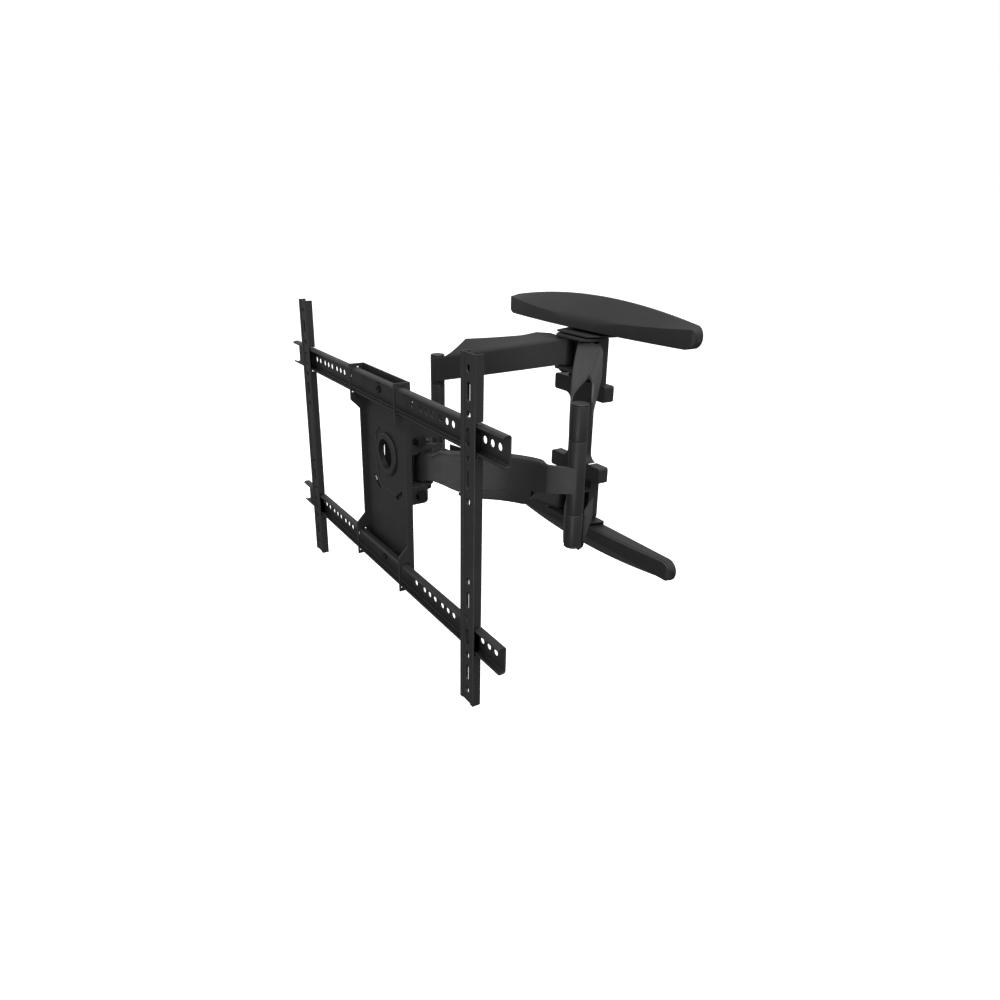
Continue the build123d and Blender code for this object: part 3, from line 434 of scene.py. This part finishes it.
def resampled(line, count):
    """Evenly spaced points along a polyline."""
    lengths = [0.0]
    for p, q in zip(line, line[1:]):
        lengths.append(lengths[-1] + (q - p).length)
    points, k = [], 0
    for i in range(count):
        target = lengths[-1] * i / (count - 1)
        while k < len(line) - 2 and lengths[k + 1] < target:
            k += 1
        span = max(lengths[k + 1] - lengths[k], 1e-9)
        points.append(line[k].lerp(line[k + 1], min((target - lengths[k]) / span, 1.0)))
    return points


def below(line, height):
    """Part of a polyline, from its low end, that stays under a height."""
    kept = [line[0]]
    for p, q in zip(line, line[1:]):
        if q[1] > height:
            if p[1] < height:
                kept.append(p.lerp(q, (height - p[1]) / (q[1] - p[1])))
            break
        kept.append(q)
    return kept


def lathe(profile, x):
    """Closed body turned about an upright axis at a place along X; profile holds (radius, z)."""
    form = bmesh.new()
    rings = []
    for i in range(LATHE_SEGMENTS):
        angle = 2 * math.pi * i / LATHE_SEGMENTS
        ring = [Vector((x + r * math.cos(angle), r * math.sin(angle), z)) for r, z in profile]
        rings.append([form.verts.new(point * MM) for point in ring])
    for i, ring in enumerate(rings):
        after = rings[(i + 1) % LATHE_SEGMENTS]
        for j in range(len(profile)):
            k = (j + 1) % len(profile)
            form.faces.new((ring[j], after[j], after[k], ring[k]))
    return form


def tube_profile(outer, inner, low, high, ease):
    """Tube section with rounded outer rims, as (radius, z)."""
    turns = [math.pi / 2 * i / RIM_STEPS for i in range(RIM_STEPS + 1)]
    lower = [(outer - ease + ease * math.sin(turn), low + ease - ease * math.cos(turn)) for turn in turns]
    upper = [(outer - ease + ease * math.cos(turn), high - ease + ease * math.sin(turn)) for turn in turns]
    return [(inner, low)] + lower + upper + [(inner, high)]


def joined(name, parts, place):
    """One mesh from several meshes and forms, placed in the mount's frame."""
    form = bmesh.new()
    for part in parts:
        if isinstance(part, bmesh.types.BMesh):
            mesh = bpy.data.meshes.new("part")
            part.to_mesh(mesh)
            part.free()
        else:
            mesh = part
        form.from_mesh(mesh)
        bpy.data.meshes.remove(mesh)
    for face in form.faces:
        face.smooth = True
    bmesh.ops.transform(form, matrix=place, verts=form.verts)
    if place.determinant() < 0:
        bmesh.ops.reverse_faces(form, faces=form.faces)
    mesh = bpy.data.meshes.new(name)
    form.to_mesh(mesh)
    form.free()
    return mesh


def smooth_line(points, steps=5):
    """Soft curve through chosen points."""
    line = []
    last = len(points) - 1
    for i in range(last):
        p0, p1 = Vector(points[max(i - 1, 0)]), Vector(points[i])
        p2, p3 = Vector(points[i + 1]), Vector(points[min(i + 2, last)])
        for k in range(steps):
            t = k / steps
            line.append(0.5 * (2 * p1 + (p2 - p0) * t + (2 * p0 - 5 * p1 + 4 * p2 - p3) * t ** 2
                               + (3 * p1 - p0 - 3 * p2 + p3) * t ** 3))
    line.append(Vector(points[-1]))
    return line


def value_at(line, s):
    """Second coordinate of a polyline at a first coordinate."""
    for p, q in zip(line, line[1:]):
        if p[0] <= s <= q[0]:
            return p[1] + (q[1] - p[1]) * (s - p[0]) / max(q[0] - p[0], 1e-9)
    return line[-1][1] if s > line[-1][0] else line[0][1]


# ------------------------------------------------------------------------ covers
def cover_section(x):
    """Outer section of a cover at one place along it, as (y, z)."""
    t = abs(x) / COVER_HALF
    top = COVER_TOP_MID - (COVER_TOP_MID - COVER_TOP_END) * t ** 2
    depth = COVER_DEPTH_MID - (COVER_DEPTH_MID - COVER_DEPTH_END) * t ** 2
    crease = COVER_CREASE_MID + (COVER_CREASE_END - COVER_CREASE_MID) * t ** 2
    into = max(abs(x) - (COVER_HALF - COVER_CORNER), 0.0)
    drop = COVER_CORNER - math.sqrt(max(COVER_CORNER ** 2 - into ** 2, 0.0))
    into_rim = max(abs(x) - (COVER_HALF - COVER_RIM), 0.0)
    depth -= COVER_RIM - math.sqrt(max(COVER_RIM ** 2 - into_rim ** 2, 0.0))
    ceiling = COVER_TOP_END + COVER_CORNER_RISE - drop if into > 0 else top
    floor = COVER_LOW + drop
    crest_z = min(top, ceiling)
    crease_z = min(crease, crest_z - COVER_CREASE_DROP)
    crease_r = COVER_SOFT * max(0.0, 1.0 - (abs(x) / COVER_SOFT_REACH) ** 2) + COVER_CREASE_R
    middle = -depth + COVER_GROOVE
    roof = floor + COVER_GROOVE_DEPTH
    groove = [(middle + COVER_GROOVE_MOUTH, floor), (middle + COVER_GROOVE_BOTTOM, roof),
              (middle - COVER_GROOVE_BOTTOM, roof), (middle - COVER_GROOVE_MOUTH, floor)]
    front = [(-depth, floor), (-depth, crease_z), (-COVER_CREST, crest_z), (0.0, crest_z)]
    mouth_r, bottom_r = COVER_GROOVE_R
    radii = [mouth_r, bottom_r, bottom_r, mouth_r, COVER_FRONT_R, crease_r, COVER_CREST_R]
    return rounded([(0.0, floor)] + groove + front, radii, COVER_CURVE_STEPS)


def cover_mesh(name, sign):
    """Hollow boat-shaped cover, open to the wall; a sign of -1 makes the lower one."""
    rim = COVER_HALF - COVER_CORNER
    stations = [-rim + 2 * rim * i / COVER_STATIONS for i in range(COVER_STATIONS + 1)]
    turns = [math.pi / 2 * i / COVER_END_STATIONS for i in range(1, COVER_END_STATIONS)]
    ends = [rim + COVER_CORNER * math.sin(turn) for turn in turns] + [COVER_HALF]
    stations = [-x for x in reversed(ends)] + stations + ends
    rows = []
    for x in stations:
        back = -SHELF_BACK if abs(x) < SHELF_HALF + SHELF_CLEAR else 0.0
        row = []
        for y, z in cover_section(x):
            row.append((x, min(y, back if z < COVER_LOW + SHELF_HEIGHT else 0.0), z))
        rows.append(row)
    form = sheet_mesh(rows, closed_ends=True)
    face_outward(form, (0.0, COVER_INSIDE_Y, COVER_LOW + COVER_INSIDE_RISE))
    return joined(name, [thickened(form, COVER_WALL)], Matrix.Diagonal((1.0, 1.0, sign, 1.0)))


# ------------------------------------------------------------------- first stage
def between(ends, share):
    """Value part of the way from one end to the other."""
    return ends[0] + (ends[1] - ends[0]) * share


def hood_lines(s):
    """Inner and outer half of the hood's section, each from the bottom up, as (q, z)."""
    along = min(max(s / ARM_LEN, 0.0), 1.0)
    top = between((WEB_TOP_WALL, WEB_TOP_ELBOW), along)
    low = between((WEB_LOW_WALL, WEB_LOW_ELBOW), along)
    grow = min(max((s - HOOD_START) / (HOOD_END - HOOD_START), 0.0), 1.0)
    ridge_z = between((HOOD_Z_START, HOOD_Z_END), grow) - HOOD_SAG * math.sin(math.pi * grow)
    ridge_q = between(HOOD_RIDGE_Q, grow)
    outer_q = between(HOOD_OUTER_Q, grow)
    inner_q = -HOOD_INNER_Q - HOOD_INNER_BULGE * math.sin(math.pi * along)
    inner = rounded([(inner_q, low), (inner_q, top), (ridge_q, ridge_z)], [HOOD_INNER_R])
    outer = rounded([(outer_q, low), (outer_q, ridge_z - HOOD_SHOULDER), (ridge_q, ridge_z)], [HOOD_OUTER_R])
    return inner, outer


def mouth_height(s, end):
    """Edge of the hood's mouth, sagging from its apex to the sleeve."""
    t = min(max((s - HOOD_END) / (end - HOOD_END), 0.0), 1.0)
    return WEB_TOP_ELBOW + (HOOD_Z_END - WEB_TOP_ELBOW) * (1 - t) ** HOOD_MOUTH_CURVE


def hood_rows(side, start, end, close):
    """Rows of points on one side of the hood; its mouth closes at the last place given."""
    body = [start + (HOOD_END - start) * i / HOOD_BODY_ROWS for i in range(HOOD_BODY_ROWS + 1)]
    mouth = [HOOD_END + (end - HOOD_END) * i / HOOD_MOUTH_ROWS for i in range(1, HOOD_MOUTH_ROWS + 1)]
    lead_full = HOOD_INNER_START + HOOD_LEAD - start
    rows = []
    for s in body + mouth:
        line = hood_lines(s)[side]
        if s > HOOD_END:
            line = below(line, mouth_height(s, close))
        fade = max(0.0, 1 - (s - start) / HOOD_LEAD_REACH)
        row = []
        for k, (q, z) in enumerate(resampled(line, HOOD_ROW_POINTS)):
            height = k / (HOOD_ROW_POINTS - 1)
            row.append((s + lead_full * height ** 3 * fade, q, z))
        rows.append(row)
    return rows


def hood_sheet():
    """Folded sheet of the hood, its mouth open towards the elbow."""
    form = bmesh.new()
    spans = ((HOOD_INNER_START, ARM_LEN, HOOD_OPEN), (HOOD_START, HOOD_RIM, HOOD_RIM))
    for side, (start, end, close) in enumerate(spans):
        rows = hood_rows(side, start, end, close)
        grid = [[form.verts.new(Vector(point) * MM) for point in row] for row in rows]
        for row, after in zip(grid, grid[1:]):
            for i in range(len(row) - 1):
                quad = (row[i], row[i + 1], after[i + 1], after[i])
                form.faces.new(quad if side == 0 else quad[::-1])
    bmesh.ops.remove_doubles(form, verts=form.verts, dist=SEAM_WELD)
    bmesh.ops.dissolve_degenerate(form, edges=form.edges, dist=LEAST_EDGE)
    bmesh.ops.recalc_face_normals(form, faces=form.faces)
    return form


def first_stage_mesh(name, place):
    """Hood with its wall barrel and elbow sleeve."""
    form = hood_sheet()
    face_outward(form, HOOD_INSIDE)
    shell = thickened(form, SHEET)
    barrel = tube_profile(BARREL_R, WALL_BUSH_R, BARREL_LOW, BARREL_HIGH, BARREL_EASE)
    sleeve = tube_profile(ELBOW_R, ELBOW_PIN_R + PIN_FIT, ELBOW_SPLIT, ELBOW_TOP, RIM_EASE)
    return joined(name, [shell, lathe(barrel, 0.0), lathe(sleeve, ARM_LEN)], place)


# ----------------------------------------------------------------------- forearm
def forearm_mesh(name, place):
    """Formed sheet with a top flange, elbow tube and head barrel."""
    rows = []
    for s, q in smooth_line(FOREARM_PATH):
        top, low = value_at(FOREARM_TOP, s), value_at(FOREARM_LOW, s)
        growth = min(max((s - FLANGE_START) / FLANGE_GROWTH, 0.0), 1.0)
        fade = min(max((FLANGE_END - s) / FLANGE_FADE, 0.0), 1.0)
        flange = max(FLANGE_W * growth * fade, FLANGE_LEAST)
        outer = q + FOREARM_T / 2
        line = rounded([(outer - flange, top), (outer, top), (outer, low)], [FOREARM_BEND_R])
        rows.append([(s, y, z) for y, z in resampled(line, FOREARM_ROW_POINTS)])
    form = sheet_mesh(rows)
    face_outward(form, FOREARM_INSIDE)
    shell = thickened(form, FOREARM_T)
    split = ELBOW_SPLIT - TUBE_GAP
    tube = tube_profile(ELBOW_R, ELBOW_BUSH_R, -split, split, RIM_EASE)
    barrel = tube_profile(HEAD_BARREL_R, HEAD_BUSH_R, HEAD_BARREL_LOW, HEAD_BARREL_HIGH, HEAD_BARREL_EASE)
    return joined(name, [shell, lathe(tube, 0.0), lathe(barrel, ARM_LEN)], place)


def cable_cover_mesh(name, place):
    """Moulded trough that follows the forearm."""
    path = smooth_line(FOREARM_PATH)
    rows = []
    for i in range(CABLE_STATIONS + 1):
        t = i / CABLE_STATIONS
        s = CABLE_START + (CABLE_END - CABLE_START) * t
        q = value_at(path, s)
        top = value_at(FOREARM_LOW, s) - CABLE_GAP
        near_rise = max(0.0, 1 - t / CABLE_CHAMFER_SHARE) ** 2
        far_rise = max(0.0, (t - 1 + CABLE_CHAMFER_SHARE) / CABLE_CHAMFER_SHARE) ** 2
        low = CABLE_LOW + CABLE_CHAMFER * (near_rise + CABLE_FAR_CHAMFER * far_rise)
        near, far = q + FOREARM_T / 2, q - CABLE_DEPTH
        line = rounded([(near, top), (near, low), (far, low), (far, top)], [CABLE_CORNER_R, CABLE_CORNER_R])
        rows.append([(s, y, z) for y, z in line])
    form = sheet_mesh(rows)
    face_outward(form, CABLE_INSIDE)
    return joined(name, [thickened(form, CABLE_T)], place)


# --------------------------------------------------------------------- assembly
EDGE_OF_SLOT = {"steel": EDGE_SHEET, "moulding": EDGE_MOULDING, "fastener": EDGE_FASTENER,
                "bush": EDGE_FASTENER, "pin": EDGE_FASTENER}
# Channels whose end caps stay as the CAD cut them, by the axis along their length
KEPT_ENDS = {"rail_upper": 0, "rail_lower": 0, "tv_arm_left": 2, "tv_arm_right": 2}


def placements():
    """Frames of the first stage and the forearm of each side, their X along the sheet."""
    frames = {}
    for name, hand in (("right", 1.0), ("left", -1.0)):
        mirror = Matrix.Diagonal((hand, 1.0, 1.0, 1.0))
        wall = Matrix.Translation((PIVOT_X * MM, WALL_PIVOT_Y * MM, 0.0))
        wall_turn = Matrix.Rotation(-ARM_ANGLE, 4, "Z")
        elbow = Matrix.Translation((ELBOW_X * MM, ELBOW_Y * MM, 0.0))
        elbow_turn = Matrix.Rotation(math.pi + ARM_ANGLE, 4, "Z")
        frames[name] = (mirror @ wall @ wall_turn, mirror @ elbow @ elbow_turn)
    return frames


def shaped_meshes():
    """Formed sheets and mouldings made here, by the node they stand for."""
    upside = Matrix.Diagonal((1.0, 1.0, -1.0, 1.0))
    made = {
        "wall_cover_upper": cover_mesh("wall_cover_upper_skin", 1.0),
        "wall_cover_lower": cover_mesh("wall_cover_lower_skin", -1.0),
    }
    for side, (wall, elbow) in placements().items():
        made[f"arm_{side}_upper"] = first_stage_mesh(f"arm_{side}_upper_skin", wall)
        made[f"arm_{side}_lower"] = first_stage_mesh(f"arm_{side}_lower_skin", wall @ upside)
        made[f"forearm_{side}"] = forearm_mesh(f"forearm_{side}_skin", elbow)
        made[f"cable_cover_{side}"] = cable_cover_mesh(f"cable_cover_{side}_skin", elbow)
    return made


def build_mount():
    """Every node of the mount with its finish."""
    materials = make_materials()
    record = frame["record"]
    slots = {part["node"]: part["material_slot"] for part in record["subparts"]}
    made = shaped_meshes()
    for body, nodes in record["behaviour"]["bodies"].items():
        for node in nodes:
            slot = slots[node]
            if node in made:
                piece = finish_piece(node + "_skin", made[node], body, [node], materials[slot])
                piece.data.set_sharp_from_angle(angle=SHARP_ANGLE)
            else:
                softened(node, body, materials[slot], EDGE_OF_SLOT[slot])


# ----------------------------------------------------------------------- studio
def make_camera():
    """Camera at three-quarter view from the right, a little above."""
    forward = Vector((-math.sin(CAMERA_AZIMUTH) * math.cos(CAMERA_ELEVATION),
                      math.cos(CAMERA_AZIMUTH) * math.cos(CAMERA_ELEVATION),
                      -math.sin(CAMERA_ELEVATION)))
    right = Vector((math.cos(CAMERA_AZIMUTH), math.sin(CAMERA_AZIMUTH), 0.0))
    up = right.cross(forward)
    roll_c, roll_s = math.cos(CAMERA_ROLL), math.sin(CAMERA_ROLL)
    axis_x = right * roll_c + up * roll_s
    axis_y = up * roll_c - right * roll_s
    data = bpy.data.cameras.new("camera")
    data.lens = CAMERA_LENS
    data.sensor_width = CAMERA_SENSOR
    data.clip_start = CAMERA_NEAR
    data.clip_end = CAMERA_FAR
    camera = bpy.data.objects.new("camera", data)
    bpy.context.scene.collection.objects.link(camera)
    turn = Matrix((axis_x, axis_y, -forward)).transposed()
    camera.matrix_world = Matrix.Translation(CAMERA_PLACE) @ turn.to_4x4()
    bpy.context.scene.camera = camera


def area_light(name, place, target, size, power):
    """Soft square lamp aimed at a point."""
    data = bpy.data.lights.new(name, "AREA")
    data.shape = "SQUARE"
    data.size = size
    data.energy = power
    lamp = bpy.data.objects.new(name, data)
    bpy.context.scene.collection.objects.link(lamp)
    lamp.location = place
    lamp.rotation_euler = (Vector(target) - Vector(place)).to_track_quat("-Z", "Y").to_euler()


def make_studio():
    """Pale floor, white surround and soft lamps."""
    mesh = bpy.data.meshes.new("floor")
    form = bmesh.new()
    bmesh.ops.create_grid(form, x_segments=FLOOR_CELLS, y_segments=FLOOR_CELLS, size=FLOOR_SIZE / 2)
    form.to_mesh(mesh)
    form.free()
    floor = bpy.data.objects.new("floor", mesh)
    bpy.context.scene.collection.objects.link(floor)
    floor.location.z = CAD_LOW[2] - FLOOR_DROP
    floor.visible_diffuse = False
    floor.visible_glossy = False
    material, tree, shader = new_material("pale_floor")
    tone = ramp(tree, noise(tree, 3.0, 2.0), 0.3, 0.7, (0.93, 0.93, 0.93, 1), (0.96, 0.96, 0.96, 1))
    tree.links.new(tone, shader.inputs["Base Color"])
    shader.inputs["Roughness"].default_value = 0.9
    shader.inputs["Emission Color"].default_value = (1.0, 1.0, 1.0, 1.0)
    shader.inputs["Emission Strength"].default_value = FLOOR_GLOW
    mesh.materials.append(material)
    floor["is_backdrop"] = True
    make_surround()
    bpy.context.scene.view_settings.view_transform = "Standard"
    area_light("overhead", OVERHEAD_PLACE, OVERHEAD_TARGET, OVERHEAD_SIZE, OVERHEAD_POWER)
    area_light("front", FRONT_PLACE, FRONT_TARGET, FRONT_SIZE, FRONT_POWER)


def make_surround():
    """Surround that is white to the eye but lights the mount dimly, less so from above."""
    world = bpy.data.worlds.new("studio")
    world.use_nodes = True
    tree = world.node_tree
    background = tree.nodes["Background"]
    rays = tree.nodes.new("ShaderNodeLightPath")
    direction = tree.nodes.new("ShaderNodeTexCoord")
    parts = tree.nodes.new("ShaderNodeSeparateXYZ")
    tree.links.new(direction.outputs["Generated"], parts.inputs["Vector"])
    sky = tree.nodes.new("ShaderNodeMapRange")
    sky.inputs["From Min"].default_value = -LIGHT_BLEND
    sky.inputs["From Max"].default_value = LIGHT_BLEND
    sky.inputs["To Min"].default_value = LIGHT_BELOW
    sky.inputs["To Max"].default_value = LIGHT_ABOVE
    tree.links.new(parts.outputs["Z"], sky.inputs["Value"])
    strength = tree.nodes.new("ShaderNodeMapRange")
    strength.inputs["To Max"].default_value = 1.0
    tree.links.new(sky.outputs["Result"], strength.inputs["To Min"])
    tree.links.new(rays.outputs["Is Camera Ray"], strength.inputs["Value"])
    tree.links.new(strength.outputs["Result"], background.inputs["Strength"])
    background.inputs["Color"].default_value = (1.0, 1.0, 1.0, 1.0)
    bpy.context.scene.world = world


build_mount()
make_studio()
make_camera()
